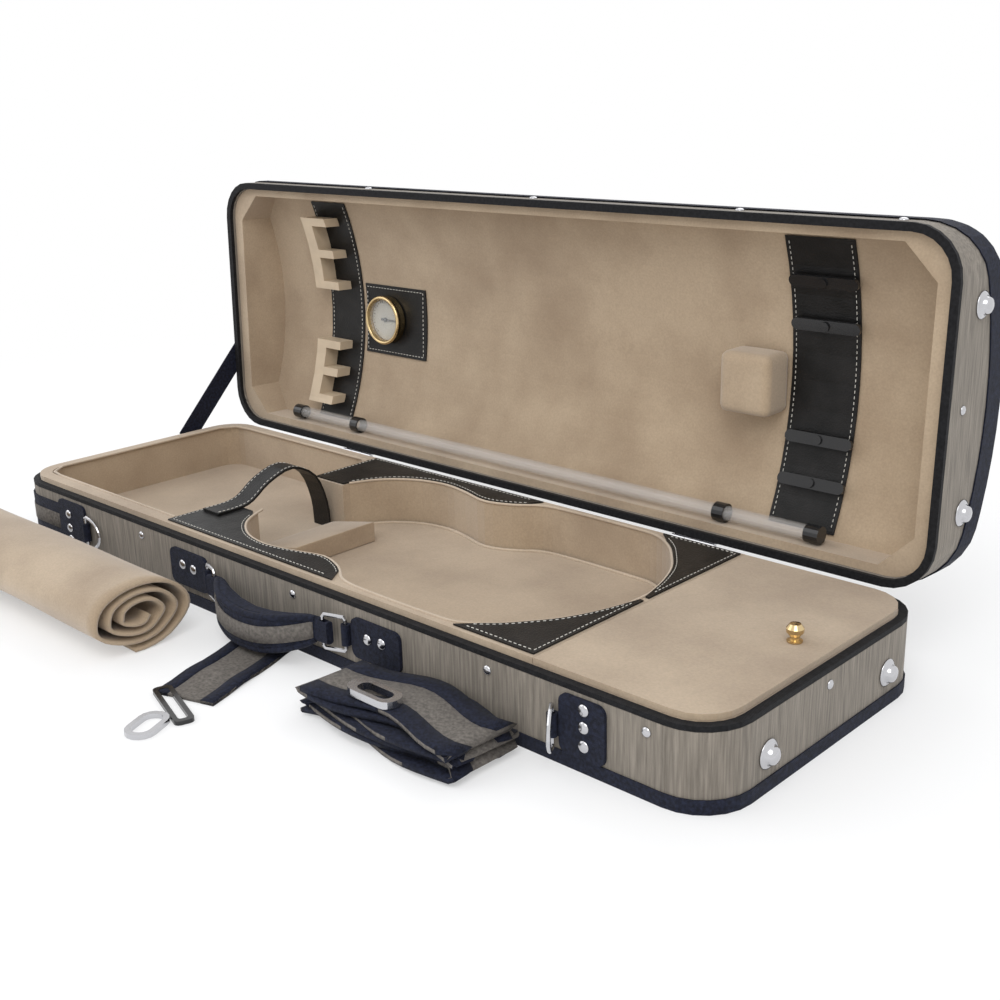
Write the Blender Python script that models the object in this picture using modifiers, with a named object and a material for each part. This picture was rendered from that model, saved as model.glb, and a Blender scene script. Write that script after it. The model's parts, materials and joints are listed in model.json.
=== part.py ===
"""Plywood violin case: a shallow base and an arched lid, canvas outside and suede inside.

X runs along the length, -Y is the opening front, +Y the hinge side, +Z up, in metres.
The origin is the centre of the underside. The lid is modelled closed, in the frame of its
hinge, and its hinge turns it to the open rest position.
"""
import math

import bmesh
import bpy
from mathutils import Matrix

# Driving dimensions
LENGTH = 0.790
DEPTH = 0.250
BASE_HEIGHT = 0.056
WALL = 0.006
CORNER = 0.036
RIM = 0.0035
GAP = 0.0003
OPEN_ANGLE = math.radians(91.8)
HINGE_OFFSET = 0.0028
HINGE_RADIUS = 0.0024

# Lid section: straight side, round shoulder, shallow crown
SHOULDER = 0.024
SHOULDER_HEIGHT = 0.0283
CROWN_RADIUS = 0.235
CROWN_HEIGHT = 0.078

# Lining of the lid
CEILING = 0.056
CEILING_RADIUS = 0.2733
LINING_X = 0.377
LINING_Y = 0.112
LINING_MOUTH = 0.0065
LINING_CHAMFER = 0.025

# Interior of the base
LIP_TOP = 0.0605
PANEL_THICKNESS = 0.0011
PANEL_EDGE = 0.1155
PANEL_LEFT = -0.157
PANEL_RIGHT = 0.2515
CAVITY_FLOOR = 0.016
PAD_TOP = 0.020
WELL_LEFT = 0.258
COMPARTMENT_EDGE = 0.2535
BOARD = 0.004
THROAT = (-0.055, 0.040)

# Half of the violin's outline, from the neck to the lower end
CAVITY_EDGE = [(-0.118, 0.048), (-0.108, 0.068), (-0.094, 0.083), (-0.072, 0.095), (-0.045, 0.0995),
               (-0.018, 0.095), (0.012, 0.0875), (0.038, 0.095), (0.060, 0.109), (0.090, 0.1125),
               (0.150, 0.1125), (0.178, 0.110), (0.200, 0.096), (0.216, 0.078), (0.230, 0.058),
               (0.240, 0.034), (0.246, 0.012)]
TIP_LEFT = 0.055
TIP_RIGHT = 0.180

# Fittings
WIRE = 0.0015
BORE = 0.0019
LOOP = 0.0034
LOOP_Y = -0.1290
FRONT = -DEPTH / 2 - GAP
HANDLE_PIVOT = 0.084
HANDLE_BAR = (0.066, -0.1350)
HANDLE_Z = 0.031
HANDLE_RING = 0.026
HANDLE_SWING = math.radians(12)
BAND_THICKNESS = 0.0015
LEFT_BAND = (-0.296, -0.246)
RIGHT_BAND = (0.246, 0.302)
TUBE_Y = 0.104
TUBE_W = 0.015
TUBE_ENDS = (-0.306, 0.298)
DIAL_CENTRE = (-0.208, 0.003)

for item in list(bpy.data.objects):
    bpy.data.objects.remove(item)
PARTS = bpy.data.collections.new("violin_case")
CUTTERS = bpy.data.collections.new("cutters")
bpy.context.scene.collection.children.link(PARTS)
bpy.context.scene.collection.children.link(CUTTERS)


def look(name, colour, roughness, metallic=0.0):
    made = bpy.data.materials.new(name)
    made.use_nodes = True
    shader = made.node_tree.nodes["Principled BSDF"]
    shader.inputs["Base Color"].default_value = (*colour, 1.0)
    shader.inputs["Roughness"].default_value = roughness
    shader.inputs["Metallic"].default_value = metallic
    return made


CANVAS = look("canvas", (0.16, 0.14, 0.12), 0.9)
NAVY = look("navy_webbing", (0.02, 0.025, 0.06), 0.8)
SUEDE = look("suede", (0.55, 0.46, 0.35), 0.95)
LEATHER = look("leather", (0.02, 0.02, 0.02), 0.45)
BINDING = look("binding", (0.015, 0.015, 0.015), 0.6)
CHROME = look("chrome", (0.8, 0.8, 0.8), 0.15, 1.0)
BRASS = look("brass", (0.75, 0.55, 0.25), 0.25, 1.0)
PLASTIC = look("plastic", (0.02, 0.02, 0.02), 0.2)
HOLDER = look("holder", (0.6, 0.5, 0.38), 0.5)
DIAL = look("dial", (0.6, 0.56, 0.48), 0.5)
CLEAR = look("clear", (0.8, 0.8, 0.78), 0.1)


def add(name, mesh, material=None, parent=None):
    """A named part, or a cutter where no material is given."""
    made = bpy.data.objects.new(name, mesh)
    if material:
        PARTS.objects.link(made)
        mesh.materials.clear()
        mesh.materials.append(material)
    else:
        CUTTERS.objects.link(made)
        made.hide_render = True
        made.display_type = "WIRE"
    made.parent = parent
    return made


def axis_empty(name, place, parent=None):
    made = bpy.data.objects.new(name, None)
    PARTS.objects.link(made)
    made.location = place
    made.parent = parent
    return made


def combine(target, other, operation="DIFFERENCE"):
    modifier = target.modifiers.new(operation.lower(), "BOOLEAN")
    modifier.operation = operation
    modifier.object = other


def from_curve(curve):
    """The closed mesh of a curve, with its caps welded."""
    holder = bpy.data.objects.new("holder", curve)
    bpy.context.scene.collection.objects.link(holder)
    graph = bpy.context.evaluated_depsgraph_get()
    mesh = bpy.data.meshes.new_from_object(holder.evaluated_get(graph))
    bpy.data.objects.remove(holder)
    shape = bmesh.new()
    shape.from_mesh(mesh)
    bmesh.ops.remove_doubles(shape, verts=shape.verts, dist=0.00001)
    bmesh.ops.recalc_face_normals(shape, faces=shape.faces)
    shape.to_mesh(mesh)
    shape.free()
    return mesh


def plate(outlines, low, high, turn=None):
    """Flat outlines, the first one outside and the rest holes, from low to high along Z."""
    curve = bpy.data.curves.new("outline", "CURVE")
    curve.dimensions = "2D"
    curve.fill_mode = "BOTH"
    curve.extrude = (high - low) / 2
    for points in outlines:
        spline = curve.splines.new("POLY")
        spline.points.add(len(points) - 1)
        for control, (x, y) in zip(spline.points, points):
            control.co = (x, y, 0, 1)
        spline.use_cyclic_u = True
    mesh = from_curve(curve)
    mesh.transform(Matrix.Translation((0, 0, (low + high) / 2)))
    if turn:
        mesh.transform(turn)
    return mesh


# Local (x, y, z) of an outline becomes (z, x, y): a section in YZ, extruded along X
ALONG_X = Matrix(((0, 0, 1, 0), (1, 0, 0, 0), (0, 1, 0, 0), (0, 0, 0, 1)))
# Local (x, y, z) becomes (x, -z, y): an outline in XZ, extruded along -Y
ALONG_Y = Matrix(((1, 0, 0, 0), (0, 0, -1, 0), (0, 1, 0, 0), (0, 0, 0, 1)))


def wire(points, radius, closed=False):
    curve = bpy.data.curves.new("wire", "CURVE")
    curve.dimensions = "3D"
    curve.bevel_depth = radius
    curve.bevel_resolution = 2
    curve.use_fill_caps = True
    spline = curve.splines.new("POLY")
    spline.points.add(len(points) - 1)
    for control, point in zip(spline.points, points):
        control.co = (*point, 1)
    spline.use_cyclic_u = closed
    return from_curve(curve)


def box(x, y, z):
    shape = bmesh.new()
    size = [high - low for low, high in (x, y, z)]
    centre = [(high + low) / 2 for low, high in (x, y, z)]
    frame = Matrix.Translation(centre) @ Matrix.Diagonal((*size, 1))
    bmesh.ops.create_cube(shape, size=1, matrix=frame)
    mesh = bpy.data.meshes.new("box")
    shape.to_mesh(mesh)
    shape.free()
    return mesh


def rod(radius, low, high, axis="Z", sides=16):
    """A cylinder about the origin's X or Z axis."""
    shape = bmesh.new()
    frame = Matrix.Translation((0, 0, (low + high) / 2))
    bmesh.ops.create_cone(shape, cap_ends=True, segments=sides, radius1=radius, radius2=radius,
                          depth=high - low, matrix=frame)
    mesh = bpy.data.meshes.new("rod")
    shape.to_mesh(mesh)
    shape.free()
    if axis == "X":
        mesh.transform(Matrix.Rotation(math.pi / 2, 4, "Y"))
    return mesh


def moved(mesh, x, y, z):
    mesh.transform(Matrix.Translation((x, y, z)))
    return mesh


def turned(profile):
    """A mesh of a profile's edges, for a Screw modifier about Z."""
    shape = bmesh.new()
    corners = [shape.verts.new((radius, 0, height)) for radius, height in profile]
    for first, second in zip(corners, corners[1:]):
        shape.edges.new((first, second))
    mesh = bpy.data.meshes.new("profile")
    shape.to_mesh(mesh)
    shape.free()
    return mesh


def add_turned(name, profile, material, parent=None, steps=20):
    made = add(name, turned(profile), material, parent)
    screw = made.modifiers.new("turn", "SCREW")
    screw.steps = steps
    screw.render_steps = steps
    screw.use_merge_vertices = True
    screw.merge_threshold = 0.00001
    return made


def arc(centre, radius, start, end, steps):
    """Points along an arc, angles in degrees."""
    turns = [math.radians(start + (end - start) * step / steps) for step in range(steps + 1)]
    return [(centre[0] + radius * math.cos(turn), centre[1] + radius * math.sin(turn)) for turn in turns]


def rounded(x, y, radius, steps=6):
    """A rounded rectangle between two x and two y values."""
    points = []
    for cx, cy, start in ((x[1], y[1], 0), (x[0], y[1], 90), (x[0], y[0], 180), (x[1], y[0], 270)):
        inner_x = cx - math.copysign(radius, cx - sum(x) / 2)
        inner_y = cy - math.copysign(radius, cy - sum(y) / 2)
        points += arc((inner_x, inner_y), radius, start, start + 90, steps)
    return points


def outline(offset, steps=6):
    """The case's plan, grown by an offset."""
    half_x = LENGTH / 2 + offset
    half_y = DEPTH / 2 + offset
    return rounded((-half_x, half_x), (-half_y, half_y), CORNER + offset, steps)


def between(values, t):
    """A value on the smooth curve through the middle two of four values."""
    a, b, c, d = values
    bend = 2 * a - 5 * b + 4 * c - d
    twist = 3 * b - a - 3 * c + d
    return 0.5 * (2 * b + (c - a) * t + bend * t * t + twist * t ** 3)


def smooth(points, steps=3):
    """A smooth curve through points."""
    made = []
    last = len(points) - 1
    for index in range(last):
        near = [points[min(max(index + shift, 0), last)] for shift in (-1, 0, 1, 2)]
        for step in range(steps):
            made.append(tuple(between(values, step / steps) for values in zip(*near)))
    made.append(points[-1])
    return made


def mirrored(points):
    return [(x, -y) for x, y in reversed(points)]


def grown(points, amount):
    """A closed counter-clockwise outline, moved outward along its normals."""
    made = []
    for index, (x, y) in enumerate(points):
        before = points[index - 1]
        after = points[(index + 1) % len(points)]
        dx = after[0] - before[0]
        dy = after[1] - before[1]
        length = math.hypot(dx, dy)
        made.append((x + amount * dy / length, y - amount * dx / length))
    return made


def base_shell():
    shell = add("base_shell", plate([outline(0)], 0, BASE_HEIGHT - RIM - GAP), CANVAS)
    combine(shell, add("tub_cut", plate([outline(-WALL)], WALL, BASE_HEIGHT + 0.02)))
    add("base_rim_binding", plate([outline(0), outline(-WALL)], BASE_HEIGHT - RIM, BASE_HEIGHT), BINDING)
    add("base_edge_band", plate([outline(0.0012), outline(GAP)], 0, 0.0095), NAVY)


def cavity_outline():
    upper = smooth(CAVITY_EDGE)
    return (mirrored(upper) + upper)[::-1]


def base_insert():
    insert = add("base_insert", plate([outline(-WALL - GAP)], WALL + GAP, LIP_TOP), SUEDE)
    over = BASE_HEIGHT + 0.02
    combine(insert, add("cavity_cut", plate([cavity_outline()], CAVITY_FLOOR, over)))
    combine(insert, add("throat_cut", box((-0.165, -0.110), THROAT, (PAD_TOP, over))))
    pocket = rounded((-0.3775, PANEL_LEFT), (-0.1075, 0.1075), 0.018, 4)
    combine(insert, add("scroll_cut", plate([pocket], 0.019, over)))
    well = rounded((WELL_LEFT, 0.375), (-0.106, 0.106), 0.014, 4)
    combine(insert, add("well_cut", plate([well], 0.010, over)))
    seat = LIP_TOP - BOARD - GAP
    combine(insert, add("seat_cut", box((COMPARTMENT_EDGE - GAP, 0.42), (-0.15, 0.15), (seat, over))))
    inside = grown(cavity_outline(), -0.003)
    add("cavity_pad", plate([inside], CAVITY_FLOOR + GAP, PAD_TOP), SUEDE)


def wedge_cushion():
    low = PAD_TOP + GAP
    side = [(-0.126, low), (-0.072, low), (-0.070, 0.036), (-0.076, 0.040), (-0.126, 0.027)]
    add("wedge_cushion", plate([side], 0.034 - 0.086, 0.034, ALONG_Y), SUEDE).location.y = -0.018


def corner_panels():
    low = LIP_TOP + GAP
    high = low + PANEL_THICKNESS
    edge = smooth(CAVITY_EDGE)
    left = [(x, y + 0.0015) for x, y in edge if x < TIP_LEFT - 0.004]
    right = [(x, y + 0.0015) for x, y in edge if x > TIP_RIGHT + 0.006]
    for name, side, throat in (("panel_front_left", -1, -THROAT[0]), ("panel_back_left", 1, THROAT[1])):
        shoulder = [(PANEL_LEFT, throat + 0.002), (-0.119, throat + 0.002)]
        points = shoulder + [point for point in left if point[1] > throat + 0.003]
        points += [(TIP_LEFT, PANEL_EDGE), (PANEL_LEFT, PANEL_EDGE)]
        add(name, plate([[(x, side * y) for x, y in points]], low, high), LEATHER)
    for name, side in (("panel_front_right", -1), ("panel_back_right", 1)):
        points = [(TIP_RIGHT, PANEL_EDGE)] + right
        points += [(0.2485, 0.003), (PANEL_RIGHT, 0.003), (PANEL_RIGHT, PANEL_EDGE)]
        add(name, plate([[(x, side * y) for x, y in points]], low, high), LEATHER)


def strip(path, thickness):
    """The outline of a strip along a path in a plane."""
    left = []
    right = []
    for index, (x, y) in enumerate(path):
        before = path[max(index - 1, 0)]
        after = path[min(index + 1, len(path) - 1)]
        length = math.hypot(after[0] - before[0], after[1] - before[1])
        nx = -(after[1] - before[1]) / length * thickness / 2
        ny = (after[0] - before[0]) / length * thickness / 2
        left.append((x + nx, y + ny))
        right.append((x - nx, y - ny))
    return left + right[::-1]


def neck_strap():
    top = LIP_TOP + GAP + PANEL_THICKNESS + GAP + 0.001
    route = [(-0.084, top), (-0.062, top), (-0.048, 0.0665), (-0.030, 0.078), (-0.004, 0.085),
             (0.020, 0.072), (0.031, 0.045), (0.033, PAD_TOP + GAP)]
    add("neck_strap", plate([strip(smooth(route), 0.002)], -0.152, -0.130, ALONG_X), LEATHER)


def foot(name, place, parent):
    """A domed foot on a washer, facing +X."""
    profile = [(0, 0.0070), (0.0035, 0.0066), (0.0062, 0.0050), (0.0074, 0.0022), (0.0092, 0.0016),
               (0.0095, 0.0), (0, 0.0)]
    made = add_turned(name, profile, CHROME, parent)
    made.location = place
    made.rotation_euler = (0, math.pi / 2, 0)


def front_plate(name, x, z, material, loop_x, loop_z, thickness):
    """A plate on the front wall with a loop for a ring's upright bar."""
    outline_points = rounded(x, z, 0.006, 4)
    made = add(name, plate([outline_points], -FRONT, -FRONT + thickness, ALONG_Y), material)
    sleeve = moved(rod(LOOP, *loop_z), loop_x, LOOP_Y, 0)
    combine(made, add(name + "_sleeve", sleeve), "UNION")
    reach = sorted((loop_x, x[0] + 0.010 if abs(loop_x - x[0]) < abs(loop_x - x[1]) else x[1] - 0.010))
    combine(made, add(name + "_tongue", box(reach, (FRONT - 0.0016, FRONT - 0.0001), loop_z)), "UNION")
    bore = moved(rod(BORE, 0, 0.06), loop_x, LOOP_Y, 0)
    combine(made, add(name + "_bore", bore))


def handle():
    for side, word in ((-1, "left"), (1, "right")):
        ends = sorted((side * (HANDLE_PIVOT + 0.0045), side * 0.139))
        front_plate("handle_tab_" + word, ends, (0.0155, 0.046), NAVY, side * HANDLE_PIVOT,
                    (HANDLE_Z - 0.008, HANDLE_Z + 0.008), 0.0026)
        axis = axis_empty("handle_ring_axis_" + word, (side * HANDLE_PIVOT, LOOP_Y, HANDLE_Z))
        reach = -side * (HANDLE_PIVOT - HANDLE_BAR[0])
        out = HANDLE_BAR[1] - LOOP_Y
        half = HANDLE_RING / 2
        loop = []
        for t in range(5):
            share = 0.08 + 0.84 * t / 4
            loop.append((reach * share, out * share, half))
        ring = [(0, 0, -half + 0.002), (0, 0, half - 0.002)] + loop
        ring += [(reach, out, half - 0.002), (reach, out, -half + 0.002)]
        ring += [(x, y, -z) for x, y, z in reversed(loop)]
        add("handle_ring_" + word, wire(ring, WIRE, True), CHROME, axis)
    grip()


def grip():
    """A bowed grip, lofted from thin ends to a thick middle."""
    stations = [(0.0735, 0.0060, 0.017, 0.0, 0.0), (0.0600, 0.0062, 0.018, 0.0, 0.0),
                (0.0520, 0.0100, 0.024, 0.004, 0.002), (0.0380, 0.0150, 0.028, 0.011, 0.005),
                (0.0200, 0.0175, 0.030, 0.0155, 0.008), (0.0, 0.0180, 0.030, 0.017, 0.009)]
    mirrored_stations = [(-x, *rest) for x, *rest in stations[:-1]] + list(reversed(stations))
    shape = bmesh.new()
    rings = []
    for x, thick, tall, bulge, drop in mirrored_stations:
        points = rounded((-thick / 2, thick / 2), (-tall / 2, tall / 2), thick * 0.3, 2)
        y = HANDLE_BAR[1] - bulge
        z = HANDLE_Z - drop
        rings.append([shape.verts.new((x, y + u, z + v)) for u, v in points])
    count = len(rings[0])
    for first, second in zip(rings, rings[1:]):
        for index in range(count):
            following = (index + 1) % count
            shape.faces.new((first[index], first[following], second[following], second[index]))
    shape.faces.new(rings[0])
    shape.faces.new(rings[-1])
    bmesh.ops.recalc_face_normals(shape, faces=shape.faces)
    mesh = bpy.data.meshes.new("grip")
    shape.to_mesh(mesh)
    shape.free()
    axis = axis_empty("handle_grip_axis", (-HANDLE_BAR[0], HANDLE_BAR[1], HANDLE_Z))
    mesh.transform(Matrix.Translation([-value for value in axis.location]))
    made = add("handle_grip", mesh, LEATHER, axis)
    combine(made, add("grip_bore_left", rod(0.0021, -0.03, 0.03), None, axis))
    far = 2 * HANDLE_BAR[0]
    drawn = 2 * ((LOOP_Y - HANDLE_BAR[1]) * math.sin(HANDLE_SWING)
                 + (HANDLE_PIVOT - HANDLE_BAR[0]) * (1 - math.cos(HANDLE_SWING)))
    slot = rounded((far - 0.0021, far + 0.0021 + drawn), (-0.0021, 0.0021), 0.0020, 4)
    combine(made, add("grip_slot_right", plate([slot], -0.03, 0.03), None, axis))


def d_ring(name, place, turn):
    """A D-shaped ring about its upright bar, which lies on the joint's axis."""
    half = 0.0145
    bow = [(0.0215 * math.cos(t), half * math.sin(t)) for t in
           [math.radians(-84 + 168 * step / 10) for step in range(11)]]
    points = [(0, 0, half - 0.001), (0.0, 0.0, -half + 0.001)] + [(x, 0, z) for x, z in bow]
    axis = axis_empty(name + "_axis", place)
    axis.rotation_euler.z = turn
    add(name, wire(points, WIRE, True), CHROME, axis)


def strap_anchors():
    front_plate("strap_anchor_left", (-0.321, -0.2755), (0.0098, 0.050), NAVY, -0.2715,
                (0.020, 0.036), 0.0022)
    d_ring("dring_left", (-0.2715, LOOP_Y, 0.028), 0)
    front_plate("strap_anchor_right", (0.282, 0.318), (0.0098, 0.050), NAVY, 0.278, (0.019, 0.035), 0.0022)
    d_ring("dring_right", (0.278, LOOP_Y, 0.027), -math.radians(54.6))
    half_y = DEPTH / 2 + GAP
    half_x = LENGTH / 2 + GAP
    inner = [(-0.3214, -half_y)] + arc((-half_x + CORNER, -half_y + CORNER), CORNER, 270, 180, 6)
    inner += arc((-half_x + CORNER, half_y - CORNER), CORNER, 180, 90, 6) + [(-0.3214, half_y)]
    outer = [(-0.3214, -half_y - 0.0012)]
    outer += arc((-half_x + CORNER, -half_y + CORNER), CORNER + 0.0012, 270, 180, 6)
    outer += arc((-half_x + CORNER, half_y - CORNER), CORNER + 0.0012, 180, 90, 6)
    outer += [(-0.3214, half_y + 0.0012)]
    add("end_wrap_band", plate([inner + outer[::-1]], 0.0098, 0.044), NAVY)


def compartment_lid():
    axis = axis_empty("compartment_axis", (COMPARTMENT_EDGE, 0, LIP_TOP))
    right = LENGTH / 2 - WALL - 2 * GAP - COMPARTMENT_EDGE
    half = DEPTH / 2 - WALL - 2 * GAP
    radius = CORNER - WALL - 2 * GAP
    points = [(0, -half)] + arc((right - radius, -half + radius), radius, 270, 360, 5)
    points += arc((right - radius, half - radius), radius, 0, 90, 5) + [(0, half)]
    add("compartment_lid", plate([points], -BOARD, 0), SUEDE, axis)
    profile = [(0, 0.0130), (0.0036, 0.0122), (0.0058, 0.0092), (0.0056, 0.0064), (0.0034, 0.0040),
               (0.0030, 0.0018), (0.0052, 0.0010), (0.0052, 0.0), (0, 0.0)]
    knob = add_turned("compartment_knob", profile, BRASS, axis, 16)
    knob.location = (0.364 - COMPARTMENT_EDGE, 0.006, GAP)


def loose_strap():
    route = [(-0.031, -0.1285), (0.021, -0.1285), (0.040, -0.190), (0.050, -0.238), (0.006, -0.222)]
    add("shoulder_strap", plate([route], 0, 0.003), NAVY)
    angle = math.atan2(0.020, 0.050)
    buckle = plate([rounded((-0.030, 0.030), (-0.007, 0.007), 0.004, 3),
                    rounded((-0.026, 0.026), (-0.0035, 0.0035), 0.002, 2)], 0, 0.003)
    made = add("strap_buckle", buckle, PLASTIC)
    made.location = (0.031, -0.2405, 0)
    made.rotation_euler.z = -angle * 0.8
    hook = plate([rounded((-0.011, 0.011), (-0.0175, 0.0175), 0.0105, 4),
                  rounded((-0.007, 0.007), (-0.0135, 0.0135), 0.0068, 4)], 0, 0.0035)
    made = add("hook_left", hook, CHROME)
    made.location = (0.044, -0.2690, 0)
    made.rotation_euler.z = math.radians(24)
    folds = smooth([(0.094, -0.134), (0.096, -0.168), (0.113, -0.192), (0.158, -0.198), (0.196, -0.200),
                    (0.220, -0.190), (0.256, -0.184), (0.262, -0.158), (0.259, -0.134)], 2)
    add("strap_bundle", plate([folds], 0, 0.027), NAVY)
    snap = plate([rounded((-0.022, 0.022), (-0.009, 0.009), 0.0085, 4),
                  rounded((-0.014, 0.016), (-0.0052, 0.0052), 0.005, 4)], 0, 0.005)
    made = add("hook_right", snap, CHROME)
    made.location = (0.168, -0.176, 0.027 + GAP)


def blanket_roll():
    oval = [(0.0475 * math.cos(t) - 0.2025, 0.029 + 0.029 * math.sin(t)) for t in
            [math.radians(15 * step) for step in range(24)]]
    add("blanket_roll", plate([oval], -0.380, -0.066, ALONG_X), SUEDE)


def hinges(lid_axis):
    """Two hinges: the base leaf carries the outer knuckles and the pin, the lid leaf the middle one."""
    axis_y = DEPTH / 2 + HINGE_OFFSET
    leaf = (DEPTH / 2 + GAP, DEPTH / 2 + GAP + 0.0012)
    for word, x in (("left", -0.200), ("right", 0.200)):
        base = add("hinge_base_leaf_" + word, box((x - 0.020, x + 0.020), leaf, (0.022, 0.0530)), CHROME)
        for side, ends in (("a", (x - 0.020, x - 0.0075)), ("b", (x + 0.0075, x + 0.020))):
            neck = add("base_neck_%s_%s" % (word, side), box(ends, leaf, (0.052, BASE_HEIGHT)))
            barrel = moved(rod(HINGE_RADIUS, *ends, "X", 12), 0, axis_y, BASE_HEIGHT)
            combine(base, neck, "UNION")
            combine(base, add("base_barrel_%s_%s" % (word, side), barrel), "UNION")
        pin = moved(rod(0.0010, x - 0.015, x + 0.015, "X", 10), 0, axis_y, BASE_HEIGHT)
        combine(base, add("pin_" + word, pin), "UNION")
        closed = (-HINGE_OFFSET + GAP, -HINGE_OFFSET + GAP + 0.0012)
        plain = box((x - 0.020, x + 0.020), closed, (0.0031, 0.016))
        lid = add("hinge_lid_leaf_" + word, plain, CHROME, lid_axis)
        middle = (x - 0.0072, x + 0.0072)
        combine(lid, add("lid_neck_" + word, box(middle, closed, (0.0, 0.006)), None, lid_axis), "UNION")
        barrel = rod(HINGE_RADIUS, *middle, "X", 12)
        combine(lid, add("lid_barrel_" + word, barrel, None, lid_axis), "UNION")
        bore = rod(0.0014, x - 0.018, x + 0.018, "X", 12)
        combine(lid, add("lid_bore_" + word, bore, None, lid_axis))


def section(offset, low):
    """The lid's section in YZ above its mouth, grown by an offset, closed along its low edge."""
    half = DEPTH / 2 + offset
    centre = (DEPTH / 2 - SHOULDER, SHOULDER_HEIGHT)
    lean = math.degrees(math.atan2(SHOULDER_HEIGHT + CROWN_RADIUS - CROWN_HEIGHT, centre[0]))
    right = [(half, low)] + arc(centre, SHOULDER + offset, 0, lean, 4)
    crown = arc((0, CROWN_HEIGHT - CROWN_RADIUS), CROWN_RADIUS + offset, lean, 180 - lean, 12)
    return right + crown[1:-1] + [(-y, w) for y, w in reversed(right)]


def ceiling(y, drop=0.0):
    """The height of the lined ceiling, less a drop."""
    return CEILING - CEILING_RADIUS + math.sqrt((CEILING_RADIUS - drop) ** 2 - y * y)


def on_ceiling(low_y, high_y, top, bottom, steps=10):
    """A section that follows the ceiling between two drops."""
    across = [low_y + (high_y - low_y) * step / steps for step in range(steps + 1)]
    return [(y, ceiling(y, bottom)) for y in across] + [(y, ceiling(y, top)) for y in reversed(across)]


class Lid:
    """The lid's frame: the closed case's middle and rim, carried by the hinge."""

    def __init__(self):
        self.hinge = axis_empty("lid_axis", (0, DEPTH / 2 + HINGE_OFFSET, BASE_HEIGHT))
        self.hinge.rotation_euler.x = -OPEN_ANGLE
        self.frame = axis_empty("lid_frame", (0, -DEPTH / 2 - HINGE_OFFSET, 0), self.hinge)

    def add(self, name, mesh, material=None):
        return add(name, mesh, material, self.frame)

    def domed(self, name, offset, low, material=None):
        """A solid of the lid's section and plan, grown by an offset."""
        reach = LENGTH / 2 + 0.02
        made = self.add(name, plate([section(offset, low)], -reach, reach, ALONG_X), material)
        combine(made, self.add(name + "_plan", plate([outline(offset)], -0.05, 0.12)), "INTERSECT")
        return made


def lid_shell(lid):
    shell = lid.domed("lid_shell", 0, GAP + RIM + GAP, CANVAS)
    combine(shell, lid.domed("lid_shell_hollow", -WALL, -0.02))
    lid.add("lid_rim_binding", plate([outline(0), outline(-WALL)], GAP, GAP + RIM), BINDING)
    lining = lid.domed("lid_lining", -WALL - GAP, LINING_MOUTH, SUEDE)
    hollow = [(-LINING_Y, -0.02), (LINING_Y, -0.02)]
    hollow += [(LINING_Y - 2 * LINING_Y * step / 12, 0) for step in range(13)]
    hollow[2:] = [(y, ceiling(y)) for y, _ in hollow[2:]]
    room = lid.add("lid_room", plate([hollow], -LENGTH / 2, LENGTH / 2, ALONG_X))
    cut_x = LINING_X - LINING_CHAMFER
    cut_y = LINING_Y - LINING_CHAMFER
    over = LINING_Y + 0.004
    grow = 0.004
    plan = [(LINING_X, cut_y), (cut_x - grow, over), (-cut_x + grow, over), (-LINING_X, cut_y),
            (-LINING_X, -cut_y), (-cut_x + grow, -over), (cut_x - grow, -over), (LINING_X, -cut_y)]
    combine(room, lid.add("lid_room_plan", plate([plan], -0.03, 0.09)), "INTERSECT")
    combine(lining, room)
    band = lid.domed("lid_edge_band", 0.0013, 0.001, NAVY)
    combine(band, lid.domed("edge_band_inside", GAP, -0.01))
    below = [(y, w - 0.025) for y, w in section(0.005, -0.05)]
    combine(band, lid.add("edge_band_low", plate([below], -0.45, 0.45, ALONG_X)))
    middle = rounded((-0.381, 0.381), (-0.111, 0.111), 0.022, 6)
    combine(band, lid.add("edge_band_middle", plate([middle], -0.05, 0.12)))


def lid_fittings(lid):
    for name, (low, high) in (("bow_band_left", LEFT_BAND), ("bow_band_right", RIGHT_BAND)):
        lid.add(name, plate([on_ceiling(-0.108, 0.108, GAP, BAND_THICKNESS)], low, high, ALONG_X), LEATHER)
    for word, (low, high) in (("upper", (-0.093, -0.022)), ("lower", (0.030, 0.092))):
        step = (high - low - 0.008) / 2
        comb = [(-0.299, low), (-0.299, high)]
        for tooth in (2, 1, 0):
            base = low + step * tooth
            comb += [(-0.263, base + 0.008), (-0.263, base)]
            if tooth:
                comb += [(-0.285, base), (-0.285, base - step + 0.008)]
        name = "bow_tip_holder_" + word
        holder = lid.add(name, plate([comb], 0, 0.09), HOLDER)
        body = plate([on_ceiling(-0.11, 0.11, BAND_THICKNESS + GAP, 0.018)], -0.31, -0.25, ALONG_X)
        combine(holder, lid.add(name + "_height", body), "INTERSECT")
    patch = on_ceiling(-0.030, 0.038, GAP, BAND_THICKNESS)
    lid.add("hygrometer_patch", plate([patch], -0.241, -0.155, ALONG_X), LEATHER)
    foam = box((0.200, 0.244), (-0.020, 0.027), (0.025, ceiling(0.027) - GAP))
    lid.add("foam_block", foam, SUEDE)
    for word, y in (("front", -0.0715), ("back", 0.0715)):
        foot("lid_end_foot_" + word, (LENGTH / 2 + GAP, y, 0.036), lid.frame)


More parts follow.
